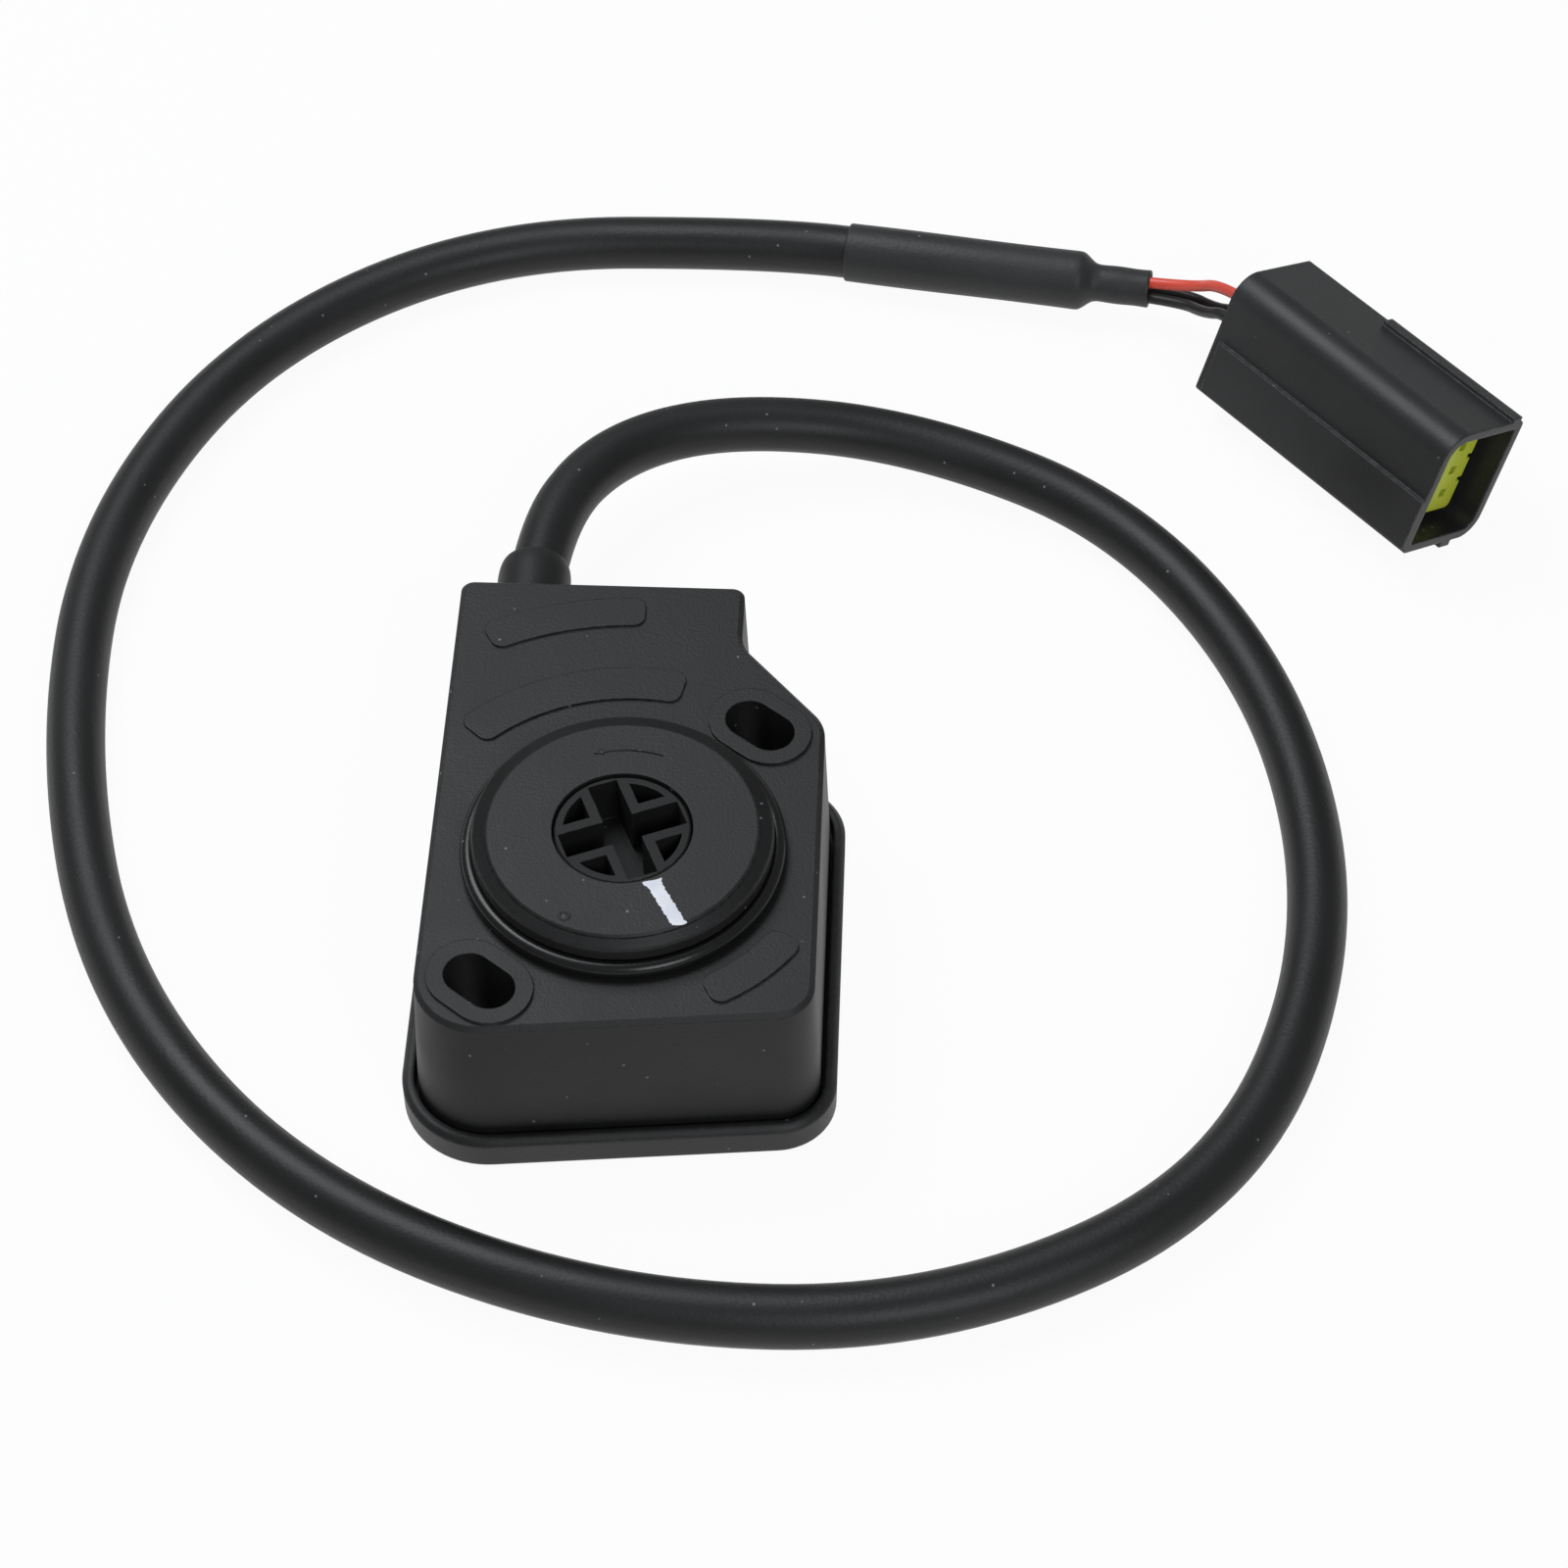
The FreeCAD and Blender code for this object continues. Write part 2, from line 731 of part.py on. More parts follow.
def make_cable_gland():
    """Collar with a flange behind the rear wall, a domed end and a bore that flares at the bend."""
    profile = [
        (gland_inner_end, gland_bore),
        (gland_inner_end, gland_flange_radius),
        (gland_seat_face, gland_flange_radius),
        (gland_seat_face, gland_radius),
        (gland_outer_end - gland_dome, gland_radius),
        (gland_outer_end - gland_dome / 3, gland_radius - gland_dome_step),
        (gland_outer_end, gland_bore + gland_flare + gland_lip),
        (gland_outer_end, gland_bore + gland_flare),
        (gland_outer_end - gland_flare_length, gland_bore),
    ]
    return turned(profile, Vector(cable_x, 0, cable_height), REARWARD)


def make_sleeve():
    inner = cable_radius + sleeve_play
    outer = inner + sleeve_wall
    neck_outer = wire_bundle_radius + sleeve_neck_wall
    neck_start = sleeve_shoulder + sleeve_taper
    profile = [
        (0.0, inner),
        (0.0, outer),
        (sleeve_shoulder, outer),
        (neck_start, neck_outer),
        (sleeve_end, neck_outer),
        (sleeve_end, wire_bundle_radius),
        (neck_start, wire_bundle_radius),
        (sleeve_shoulder, inner),
    ]
    return turned(profile, sleeve_start, sleeve_axis)


def plug_lowest():
    """How far the plug's section reaches below its axis once it is rolled."""
    lean = radians(abs(plug_roll))
    arm = (plug_height / 2 - plug_lower_round) * cos(lean) + (plug_depth / 2 - plug_lower_round) * sin(lean)
    return arm + plug_lower_round


def plug_place():
    rear = Vector(plug_rear_x, plug_rear_y, plug_lowest() + plug_floor_gap)
    turn = FreeCAD.Rotation(UP, plug_yaw).multiply(FreeCAD.Rotation(Vector(1, 0, 0), plug_roll))
    return FreeCAD.Placement(rear, turn)


def on_plug(shape):
    return shape.transformed(plug_place().toMatrix(), copy=True)


def along_plug(corners, start, end):
    """Section given as (across, up, round) corners, carried along the plug's axis from start to end."""
    face = Part.Face(rounded_wire(corners, 0.0))
    block = face.extrude(Vector(0, 0, end - start))
    axes = FreeCAD.Rotation(Vector(0, 1, 0), Vector(0, 0, 1), Vector(1, 0, 0), "ZXY")
    return block.transformed(FreeCAD.Placement(Vector(start, 0, 0), axes).toMatrix(), copy=True)


def plug_section(inset):
    half_depth, half_height = plug_depth / 2 - inset, plug_height / 2 - inset
    return [
        (-half_depth, -half_height, max(plug_small_round - inset, least_round)),
        (half_depth, -half_height, max(plug_lower_round - inset, least_round)),
        (half_depth, half_height, max(plug_small_round - inset, least_round)),
        (-half_depth, half_height, max(plug_round - inset, least_round)),
    ]


def square_section(half_depth, half_height, corner):
    return [
        (-half_depth, -half_height, corner),
        (half_depth, -half_height, corner),
        (half_depth, half_height, corner),
        (-half_depth, half_height, corner),
    ]


def way_places():
    """Centres of the contact ways across and up the plug, those nearest the plug's axis first."""
    places = []
    for row in range(way_rows):
        for column in range(way_columns):
            across = (row - (way_rows - 1) / 2) * way_pitch
            up = ((way_columns - 1) / 2 - column) * way_pitch
            places.append((across, up))
    return sorted(places, key=lambda place: hypot(*place))


wired_ways = way_places()[:len(wire_nest_angles)]
blank_ways = way_places()[len(wire_nest_angles):]
block_half_depth = (way_rows - 1) * way_pitch / 2 + way_width / 2 + block_margin
block_half_height = (way_columns - 1) * way_pitch / 2 + way_width / 2 + block_margin
block_front = plug_length - block_set_back


def make_plug_shell():
    """Open tube with a raised panel, a rail and a key."""
    side, top = plug_depth / 2, plug_height / 2
    panel_low = Vector(plug_panel_set_back, -side - plug_panel_rise, plug_small_round - top)
    panel = box(panel_low, Vector(plug_length, plug_wall / 2 - side, plug_panel_edge))
    rail_edge = side - plug_small_round
    rail_low = Vector(plug_length - plug_rail_length, rail_edge - plug_rail_width, top - plug_wall / 2)
    rail = box(rail_low, Vector(plug_length, rail_edge, top + plug_rail_rise))
    key_low = Vector(plug_length - plug_key_length, plug_key_offset - plug_key_width / 2, -top - plug_key_rise)
    key = box(key_low, Vector(plug_length, plug_key_offset + plug_key_width / 2, plug_wall / 2 - top))
    shell = along_plug(plug_section(0.0), 0.0, plug_length).fuse([panel, rail, key])
    bore = along_plug(plug_section(plug_wall), -plug_wall, plug_length + plug_wall)
    return on_plug(shell.cut(bore).removeSplitter())


def make_contact_block():
    """Block that fills the rear of the shell and narrows to a tower, with a way and a seal bore for each contact."""
    rear = along_plug(plug_section(plug_wall + block_play), 0.0, plug_length - plug_cavity)
    tower_section = square_section(block_half_depth, block_half_height, least_round)
    tower = along_plug(tower_section, plug_length - plug_cavity - plug_wall, block_front)
    half = way_width / 2
    cuts = []
    for across, up in way_places():
        cuts.append(box(Vector(0, across - half, up - half), Vector(plug_length, across + half, up + half)))
        cuts.append(plug_bar(seal_radius, 0.0, seal_length, across, up))
    return on_plug(rear.fuse(tower).cut(cuts).removeSplitter())


def make_lock():
    """Lock cap that slides over the contact block, with a window for each way."""
    inner_depth, inner_height = block_half_depth + lock_play, block_half_height + lock_play
    front = block_front + lock_play + lock_face
    outer = square_section(inner_depth + lock_wall, inner_height + lock_wall, lock_round)
    cap = along_plug(outer, front - lock_length, front)
    inner = square_section(inner_depth, inner_height, least_round)
    cuts = [along_plug(inner, front - lock_length, block_front + lock_play)]
    half = lock_window / 2
    for across, up in way_places():
        low = Vector(block_front, across - half, up - half)
        cuts.append(box(low, Vector(plug_length, across + half, up + half)))
    rim = inner_depth + lock_wall
    for up in (-way_pitch / 2, way_pitch / 2):
        for side in (1, -1):
            reach = sorted((side * (rim - lock_notch), side * (rim + lock_notch)))
            low = Vector(block_front + lock_play, reach[0], up - lock_notch / 2)
            cuts.append(box(low, Vector(plug_length, reach[1], up + lock_notch / 2)))
    return on_plug(cap.cut(cuts))


def make_contacts():
    """Square contact tubes, open to the front for the pins and bored at the rear for the wire's strands."""
    contacts = []
    half = way_width / 2 - contact_play
    inside = half - contact_wall
    end = block_front - contact_set_back
    start = end - contact_length
    for across, up in wired_ways:
        body = box(Vector(start, across - half, up - half), Vector(end, across + half, up + half))
        mouth_low = Vector(end - contact_mouth, across - inside, up - inside)
        mouth = box(mouth_low, Vector(end, across + inside, up + inside))
        barrel = plug_bar(strand_radius, start, contact_barrel, across, up)
        contacts.append(body.cut([mouth, barrel]))
    return on_plug(Part.makeCompound(contacts))


def make_wire_seals():
    seals = []
    for across, up in wired_ways:
        body = plug_bar(seal_radius - seal_play, 0.0, seal_length, across, up)
        seals.append(body.cut(plug_bar(wire_radius + wire_play, 0.0, seal_length, across, up)))
    return on_plug(Part.makeCompound(seals))


def make_way_blanks():
    radius = seal_radius - seal_play
    blanks = [plug_bar(radius, 0.0, seal_length, across, up) for across, up in blank_ways]
    return on_plug(Part.makeCompound(blanks))


def wire_routes():
    """Each wire from the cable's end, through the sleeve's neck and into its way of the plug."""
    side = sleeve_axis.cross(UP).normalize()
    top = side.cross(sleeve_axis)
    routes = []
    for (across, up), turn in zip(wired_ways, wire_nest_angles):
        nest = side * (wire_nest * cos(radians(turn))) + top * (wire_nest * sin(radians(turn)))
        start = sleeve_start + sleeve_axis * (sleeve_shoulder + sleeve_taper) + nest
        leaves = sleeve_start + sleeve_axis * (sleeve_end + wire_lead_out) + nest
        meets = plug_place().multVec(Vector(-wire_lead_in, across, up))
        end = plug_place().multVec(Vector(wire_grip, across, up))
        routes.append([start, leaves, meets, end])
    return routes


def export(parts):
    os.makedirs("parts", exist_ok=True)
    for name, shape in parts.items():
        shape.exportStep(os.path.join("parts", name + ".step"))
        print(name, "solids", len(shape.Solids), "valid", shape.isValid(), "volume", round(shape.Volume, 2))


cable, cable_path, cable_radii = tube(cable_route, cable_radius, cable_sides)
print("cable arc radii", [round(radius, 1) for radius in cable_radii])
print("cable length", round(cable_path.Length, 1))
wires = [tube(route, wire_radius, wire_sides) for route in wire_routes()]
for wire in wires:
    print("wire arc radii", [round(radius, 1) for radius in wire[2]], "length", round(wire[1].Length, 1))
inner_leads = make_inner_leads()

export({
    "housing": make_housing(),
    "base_cover": make_base_cover(),
    "cover_seal": cover_seal_band(),
    "pilot_seal_ring": make_pilot_ring(),
    "rotor_bush": make_rotor_bush(),
    "rotor": make_rotor(),
    "rotor_seal": make_rotor_seal(),
    "wiper_carrier": make_wiper_carrier(),
    "retaining_clip": make_retaining_clip(),
    "return_spring": make_return_spring(),
    "wiper": make_wiper(),
    "circuit_board": make_circuit_board(),
    "resistor_tracks": make_resistor_tracks(),
    "board_screws": make_board_screws(),
    "board_terminals": make_board_terminals(),
    "inner_lead_red": inner_leads[0],
    "inner_leads_black": Part.makeCompound(inner_leads[1:]),
    "cable_gland": make_cable_gland(),
    "cable": cable,
    "shrink_sleeve": make_sleeve(),
    "red_wire": wires[2][0],
    "black_wires": Part.makeCompound([wires[0][0], wires[1][0]]),
    "plug_shell": make_plug_shell(),
    "contact_block": make_contact_block(),
    "plug_lock": make_lock(),
    "plug_contacts": make_contacts(),
    "wire_seals": make_wire_seals(),
    "way_blanks": make_way_blanks(),
})
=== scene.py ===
# %% [markdown]
# # Accelerator pedal position sensor
# A pedal sensor turns the angle of a pedal shaft into a voltage. The black box holds a small rotary
# resistor, the round pilot on top centres it in the pedal bracket, and a cable carries the reading to a
# sealed plug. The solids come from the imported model; this lesson dresses them, lays the cable and sets up
# the camera.

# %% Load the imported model
import bpy
import bmesh
import numpy as np
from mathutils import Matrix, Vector


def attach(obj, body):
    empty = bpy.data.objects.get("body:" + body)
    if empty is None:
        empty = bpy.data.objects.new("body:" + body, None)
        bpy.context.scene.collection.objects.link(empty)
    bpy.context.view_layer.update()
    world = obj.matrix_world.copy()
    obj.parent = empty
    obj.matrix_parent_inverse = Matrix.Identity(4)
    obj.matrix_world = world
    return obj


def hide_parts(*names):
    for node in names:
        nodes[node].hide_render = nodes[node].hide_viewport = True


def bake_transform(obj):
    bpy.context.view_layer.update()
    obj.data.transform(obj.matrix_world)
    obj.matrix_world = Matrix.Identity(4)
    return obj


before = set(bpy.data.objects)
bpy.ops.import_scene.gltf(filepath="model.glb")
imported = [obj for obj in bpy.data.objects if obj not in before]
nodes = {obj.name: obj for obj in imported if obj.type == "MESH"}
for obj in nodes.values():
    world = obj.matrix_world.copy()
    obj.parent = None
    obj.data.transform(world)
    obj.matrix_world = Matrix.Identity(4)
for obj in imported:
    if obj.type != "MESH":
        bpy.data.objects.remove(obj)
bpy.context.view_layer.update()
scene = bpy.context.scene
MM = 0.001

# %% [markdown]
# ## Camera
# The picture was taken with a long lens from the front, looking down at about fifty degrees. A long lens
# keeps the sides of the box nearly parallel. The camera is aimed by turning its own -Z axis along the line
# of sight, with its Y axis kept as close to upright as it can be.

# %% Camera
camera_data = bpy.data.cameras.new("photo_camera")
camera_data.sensor_fit = "HORIZONTAL"
camera_data.sensor_width = 36.0
camera_data.lens = 87.65
camera_data.clip_start = 0.01
camera = bpy.data.objects.new("photo_camera", camera_data)
scene.collection.objects.link(camera)
camera_place = Vector((31.235, -301.545, 397.338)) * MM
aim_point = Vector((18.974, 32.821, 0.0)) * MM
camera.location = camera_place
camera.rotation_euler = (aim_point - camera_place).to_track_quat("-Z", "Y").to_euler()
scene.camera = camera
print("camera", [round(v, 4) for v in camera.location], "lens", camera_data.lens)

# %% [markdown]
# ## Grids of points
# Most new pieces below are surfaces of two parameters. A shape function returns a whole array of points
# with shape (rows, columns, 3), and this helper turns neighbouring points into four-sided faces. A side
# that closes on itself is joined by wrapping the indices, so no double row of points is left at the seam.
# Points that fall together at a pole are merged.

# %% Surface helpers
pole_gap = 1e-7


def surface(name, points, wrap_rows=False, wrap_columns=True):
    """Object of the grid's faces: face (i, j) joins points (i, j), (i+1, j), (i+1, j+1) and (i, j+1)."""
    rows, columns = points.shape[:2]
    index = np.arange(rows * columns).reshape(rows, columns)
    if wrap_rows:
        index = np.vstack([index, index[:1]])
    if wrap_columns:
        index = np.hstack([index, index[:, :1]])
    quads = np.stack([index[:-1, :-1], index[1:, :-1], index[1:, 1:], index[:-1, 1:]], axis=-1).reshape(-1, 4)
    mesh = bpy.data.meshes.new(name)
    mesh.from_pydata(points.reshape(-1, 3).tolist(), [], quads.tolist())
    work = bmesh.new()
    work.from_mesh(mesh)
    bmesh.ops.remove_doubles(work, verts=work.verts, dist=pole_gap)
    work.to_mesh(mesh)
    work.free()
    mesh.shade_smooth()
    piece = bpy.data.objects.new(name, mesh)
    scene.collection.objects.link(piece)
    return piece


def turned_about(axis_point, axis, profile, columns):
    """Profile turned about an axis: point + along * axis + radius * (side cos t - up sin t)."""
    axis = np.asarray(axis, float) / np.linalg.norm(axis)
    helper = np.array([0.0, 0.0, 1.0]) if abs(axis[2]) < 0.9 else np.array([1.0, 0.0, 0.0])
    side = np.cross(helper, axis)
    side /= np.linalg.norm(side)
    up = np.cross(axis, side)
    turn = np.linspace(0.0, 2 * np.pi, columns, endpoint=False)
    around = np.cos(turn)[:, None] * side - np.sin(turn)[:, None] * up
    along, radius = np.asarray(profile, float).T
    return np.asarray(axis_point) + along[:, None, None] * axis + radius[:, None, None] * around[None]


print("surface helpers ready")

# %% [markdown]
# ## The cable
# The cable is one round cord. It leaves the box straight, sinks to the table and runs round the sensor to
# the sleeve. A NURBS curve of order three with the corner points of its route as control points gives one
# smooth line; the order is set after the points are in place, because Blender would otherwise lower it.

# %% Cable
cable_route = np.array([
    (-16.3, 44.0, 13.0), (-16.6, 64.5, 13.0), (-9.2, 83.0, 12.0), (8.0, 93.5, 9.5), (35.5, 94.6, 6.0),
    (66.8, 80.6, 4.2), (87.2, 47.0, 4.0), (91.6, 5.0, 4.0), (77.0, -34.2, 4.0), (40.5, -54.5, 4.0),
    (-1.0, -54.5, 4.0), (-39.5, -39.0, 4.0), (-66.5, -8.5, 4.0), (-78.5, 32.0, 4.0), (-80.0, 73.5, 4.0),
    (-63.5, 112.0, 4.0), (-30.0, 136.0, 4.0), (13.5, 137.4, 4.1), (35.75, 133.35, 4.85),
    (58.0, 129.3, 5.6),
]) * MM
cable_radius = 3.95 * MM


def cord_curve(name, route, radius):
    """Open NURBS spline of order three over the route's control points, which carry the cord's radius."""
    curve = bpy.data.curves.new(name, "CURVE")
    curve.dimensions = "3D"
    curve.bevel_depth = 1.0
    curve.bevel_resolution = 7
    curve.resolution_u = 16
    curve.use_fill_caps = True
    spline = curve.splines.new("NURBS")
    spline.points.add(len(route) - 1)
    weighted = np.column_stack([route, np.ones(len(route))])
    spline.points.foreach_set("co", weighted.ravel())
    spline.points.foreach_set("radius", np.full(len(route), radius))
    spline.order_u = 3
    spline.use_endpoint_u = True
    piece = bpy.data.objects.new(name, curve)
    scene.collection.objects.link(piece)
    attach(piece, "sensor")
    return piece


cable = cord_curve("cable_cord", cable_route, cable_radius)
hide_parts("cable")
print("cable control points", len(cable_route))

# %% [markdown]
# ## Wires to the plug
# Where the sheath ends, three thin wires carry on into the plug: one red and two black. Each leaves the
# sleeve's neck along its axis and enters its own seal along the plug's axis. The black ones have a further
# control point in between, which lets them sag below the red one.

# %% Wires
wire_radius = 0.85 * MM
red_route = np.array([
    (62.48, 128.48, 6.95), (76.05, 126.01, 7.41), (81.08, 118.12, 15.65), (89.34, 108.61, 15.65),
]) * MM
left_route = np.array([
    (62.36, 127.45, 5.15), (75.0, 125.1, 5.5), (78.45, 119.3, 8.5), (81.2, 115.84, 11.91),
    (88.28, 107.69, 11.91),
]) * MM
right_route = np.array([
    (62.73, 129.5, 5.15), (75.6, 127.1, 5.5), (80.6, 120.9, 7.7), (84.0, 118.32, 10.5),
    (91.11, 110.15, 10.5),
]) * MM
red_wire = cord_curve("red_wire_cord", red_route, wire_radius)
left_wire = cord_curve("black_wire_left_cord", left_route, wire_radius)
right_wire = cord_curve("black_wire_right_cord", right_route, wire_radius)
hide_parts("red_wire")
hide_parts("black_wires")
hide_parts("black_wires")
print("wires", red_wire.name, left_wire.name, right_wire.name)

# %% [markdown]
# ## Shrink sleeve
# A heat-shrink sleeve covers the end of the sheath and grips the wires. It is a thin tube that follows the
# cable, steps down at a shoulder and ends in a narrow neck. A turned profile gives the form; small waves
# along it stand for the way the film settles on what is under it.

# %% Shrink sleeve
sleeve_axis = cable_route[-1] - cable_route[-2]
sleeve_axis /= np.linalg.norm(sleeve_axis)
sleeve_cover = 33.5
sleeve_start = cable_route[-1] - sleeve_axis * sleeve_cover * MM
sleeve_radius, neck_radius = 4.4, 2.8
shoulder_start, shoulder_length, shoulder_drop = 35.5, 2.8, 1.56
neck_start, neck_end = 38.6, 46.15
turn_columns = 72


def sleeve_profile():
    """(along, radius) pairs: bore at the open end, thick part, shoulder, neck, and back inside the neck."""
    thick = np.linspace(0.15, shoulder_start - 0.3, 60)
    shoulder = np.linspace(0.0, 1.0, 12)
    fall = shoulder ** 2 * (3 - 2 * shoulder)
    neck = np.linspace(neck_start, neck_end, 22)
    slope = shoulder_start + shoulder_length * shoulder
    along = np.concatenate([[6.0, 0.05, 0.0], thick, slope, neck, [46.3, 46.25, 41.0]])
    radius = np.concatenate([
        [4.06, 4.1, 4.3],
        sleeve_radius + 0.05 * np.sin(thick / 5.5),
        sleeve_radius - 0.02 - shoulder_drop * fall,
        neck_radius + 0.04 * np.sin(neck * 1.1),
        [2.68, 2.35, 2.3],
    ])
    return np.column_stack([along, radius]) * MM


sleeve_points = turned_about(sleeve_start, sleeve_axis, sleeve_profile(), turn_columns)
sleeve = surface("shrink_sleeve_film", sleeve_points)
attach(sleeve, "sensor")
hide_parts("shrink_sleeve")
print("sleeve faces", len(sleeve.data.polygons))

# %% [markdown]
# ## Cable gland
# A rubber collar closes the hole in the rear wall and keeps the cable from being bent sharply there. Its
# outer end is a quarter of an ellipse: along it the radius falls as a cosine, while the length grows as
# a sine.

# %% Cable gland
collar_radius, collar_mouth = 5.05, 4.45
dome_start, dome_length = 56.4, 3.05


def gland_profile():
    """(along, radius) pairs from the flange inside the wall, along the collar and the dome to the bore."""
    quarter = np.linspace(0.0, np.pi / 2, 14)
    dome_along = dome_start + dome_length * np.sin(quarter)
    dome_radius = collar_mouth + (collar_radius - collar_mouth) * np.cos(quarter)
    dome = np.column_stack([dome_along, dome_radius])
    inner = [(41.2, 4.02), (41.2, 5.98), (42.68, 5.98), (42.7, 5.04), (50.0, collar_radius)]
    mouth = [(59.4, 4.3), (58.6, 4.2), (53.0, 4.02)]
    return np.vstack([inner, dome, mouth]) * MM


gland_foot = np.array([-16.3, 0.0, 13.0]) * MM
gland_points = turned_about(gland_foot, (0.0, 1.0, 0.0), gland_profile(), turn_columns)
gland = surface("cable_gland_collar", gland_points, wrap_rows=True)
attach(gland, "sensor")
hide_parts("cable_gland")
print("gland faces", len(gland.data.polygons))

# %% [markdown]
# ## Seal ring at the pilot's foot
# A rubber ring sits in a groove where the pilot meets the face. A circle carried round a larger circle is a
# torus: the distance from the axis is the large radius plus the small one times a cosine, and the height
# is the small radius times a sine.

# %% Seal ring
ring_turn = np.linspace(0.0, 2 * np.pi, 160, endpoint=False)[:, None]
section_turn = np.linspace(0.0, 2 * np.pi, 28, endpoint=False)[None, :]
ring_radius, ring_section, ring_height = 19.4, 1.14, 26.04
ring_reach = ring_radius + ring_section * np.cos(section_turn)
ring_points = np.stack([
    ring_reach * np.cos(ring_turn),
    ring_reach * np.sin(ring_turn),
    ring_height + ring_section * np.sin(section_turn) + 0.0 * ring_turn,
], axis=-1) * MM
seal_ring = surface("pilot_ring", ring_points, wrap_rows=True)
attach(seal_ring, "sensor")
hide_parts("pilot_seal_ring")
print("ring faces", len(seal_ring.data.polygons))

# %% [markdown]
# ## Marks on the pilot
# The pilot's face carries a thin curved arrow for the direction of turn, a small round pip from the mould,
# and a dab of white paint that marks the rotor's rest position. The arrow is a ridge along an arc whose
# width swells into a head; the paint is a thin lens of colour with a ragged outline.

# %% Direction arrow, pip and paint mark
face_top = 29.7
arrow_radius, arrow_start, arrow_sweep = 12.7, 70.0, 40.0
line_half, head_half, head_share = 0.16, 0.55, 0.14
ridge_sink, ridge_height = 0.03, 0.24
step = np.linspace(0.0, 1.0, 90)[:, None]
across = np.linspace(1.0, -1.0, 9)[None, :]
arrow_angle = np.radians(arrow_start + arrow_sweep * step)
head = np.clip((step - (1 - head_share)) / head_share, 0.0, 1.0)
arrow_half = line_half + np.where(head > 0, head_half * (1 - head) - line_half * head, 0.0)
arrow_reach = arrow_radius + arrow_half * across
arrow_points = np.stack([
    arrow_reach * np.cos(arrow_angle),
    arrow_reach * np.sin(arrow_angle),
    face_top - ridge_sink + ridge_height * (1 - across ** 2) + 0.0 * step,
], axis=-1) * MM
arrow = surface("turn_arrow", arrow_points, wrap_columns=False)

pip_radius = np.array([0.8, 0.78, 0.72, 0.62, 0.52, 0.44, 0.4, 0.3, 0.15, 0.0])
pip_height = np.array([-0.03, 0.06, 0.12, 0.14, 0.1, 0.0, -0.01, 0.02, 0.03, 0.03])
pip_place = np.array([-6.2, -14.2, face_top]) * MM
pip_profile = np.column_stack([pip_height, pip_radius]) * MM
pip = surface("mould_pip", turned_about(pip_place, (0, 0, 1), pip_profile, 32))

paint_start, paint_length, paint_width, paint_flare = 9.15, 7.9, 0.98, 0.5
paint_sink, paint_height = 0.02, 0.065
stroke = np.linspace(0.0, 1.0, 70)[:, None]
paint_across = np.linspace(-1.0, 1.0, 25)[None, :]
paint_angle = np.radians(-62.6)
radial = np.array([np.cos(paint_angle), np.sin(paint_angle)])
sideways = np.array([-radial[1], radial[0]])
ragged = 0.05 * np.sin(31 * stroke + 2.0) + 0.04 * np.sin(67 * stroke) + 0.03 * np.sin(113 * stroke + 1.0)
flare = paint_flare * np.exp(-((stroke / 0.1) ** 2))
paint_half = paint_width + flare + ragged * np.sign(paint_across)
paint_reach = paint_start + paint_length * stroke + 0.18 * np.sin(2.3 * paint_across + 0.4)
paint_offset = paint_half * paint_across + 0.25 * (stroke - 0.5)
swell = (1 - paint_across ** 4) * np.sin(np.pi * stroke).clip(0.0) ** 0.15
paint_points = np.stack([
    paint_reach * radial[0] + paint_offset * sideways[0],
    paint_reach * radial[1] + paint_offset * sideways[1],
    face_top - paint_sink + paint_height * swell,
], axis=-1) * MM
paint = surface("paint_mark", paint_points, wrap_columns=False)
for mark in (arrow, pip, paint):
    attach(mark, "sensor")
print("marks", arrow.name, pip.name, paint.name)

# %% [markdown]
# ## Return spring
# Inside the housing the spring joins two bodies: its lower leg sits in the turning carrier, its upper leg
# in the roof. A copy of the solid is sliced at several heights.

# %% Return spring sliced at several heights
spring_mesh = nodes["return_spring"].data.copy()
spring_mesh.transform(nodes["return_spring"].matrix_world)
spring_mesh.materials.clear()
work = bmesh.new()
work.from_mesh(spring_mesh)
lower_leg_top, last_slice, strip_top = 15.0 * MM, 19.0 * MM, 19.2 * MM
for height in np.linspace(lower_leg_top, last_slice, 9):
    everything = work.verts[:] + work.edges[:] + work.faces[:]
    bmesh.ops.bisect_plane(work, geom=everything, plane_co=(0, 0, height), plane_no=(0, 0, 1))
work.to_mesh(spring_mesh)
work.free()
spring = bpy.data.objects.new("return_spring_strip", spring_mesh)
scene.collection.objects.link(spring)
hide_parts("return_spring")
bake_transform(spring)
print("spring faces", len(spring_mesh.polygons))

# %% [markdown]
# ## Cords
# The cable and the three wires above are laid as curves, and both ends of the cable are in view.

print("cable and wires laid as curves")

# %% [markdown]
# ## Shared surface effects
# Moulded plastic is never one flat colour. Three effects come back on almost every finish here, so each is
# a node group: a fine grain for bump and tone, pale wear where an edge is rubbed, and tiny light specks of
# dust. The groups read Object coordinates, so a pattern keeps its real size on every piece.

# %% Node groups
def new_group(name, inputs, outputs):
    """Node group with float inputs given as (name, default) pairs and float outputs given by name."""
    tree = bpy.data.node_groups.new(name, "ShaderNodeTree")
    for label, default in inputs:
        socket = tree.interface.new_socket(label, in_out="INPUT", socket_type="NodeSocketFloat")
        socket.default_value = default
    for label in outputs:
        tree.interface.new_socket(label, in_out="OUTPUT", socket_type="NodeSocketFloat")
    return tree, tree.nodes.new("NodeGroupInput"), tree.nodes.new("NodeGroupOutput")


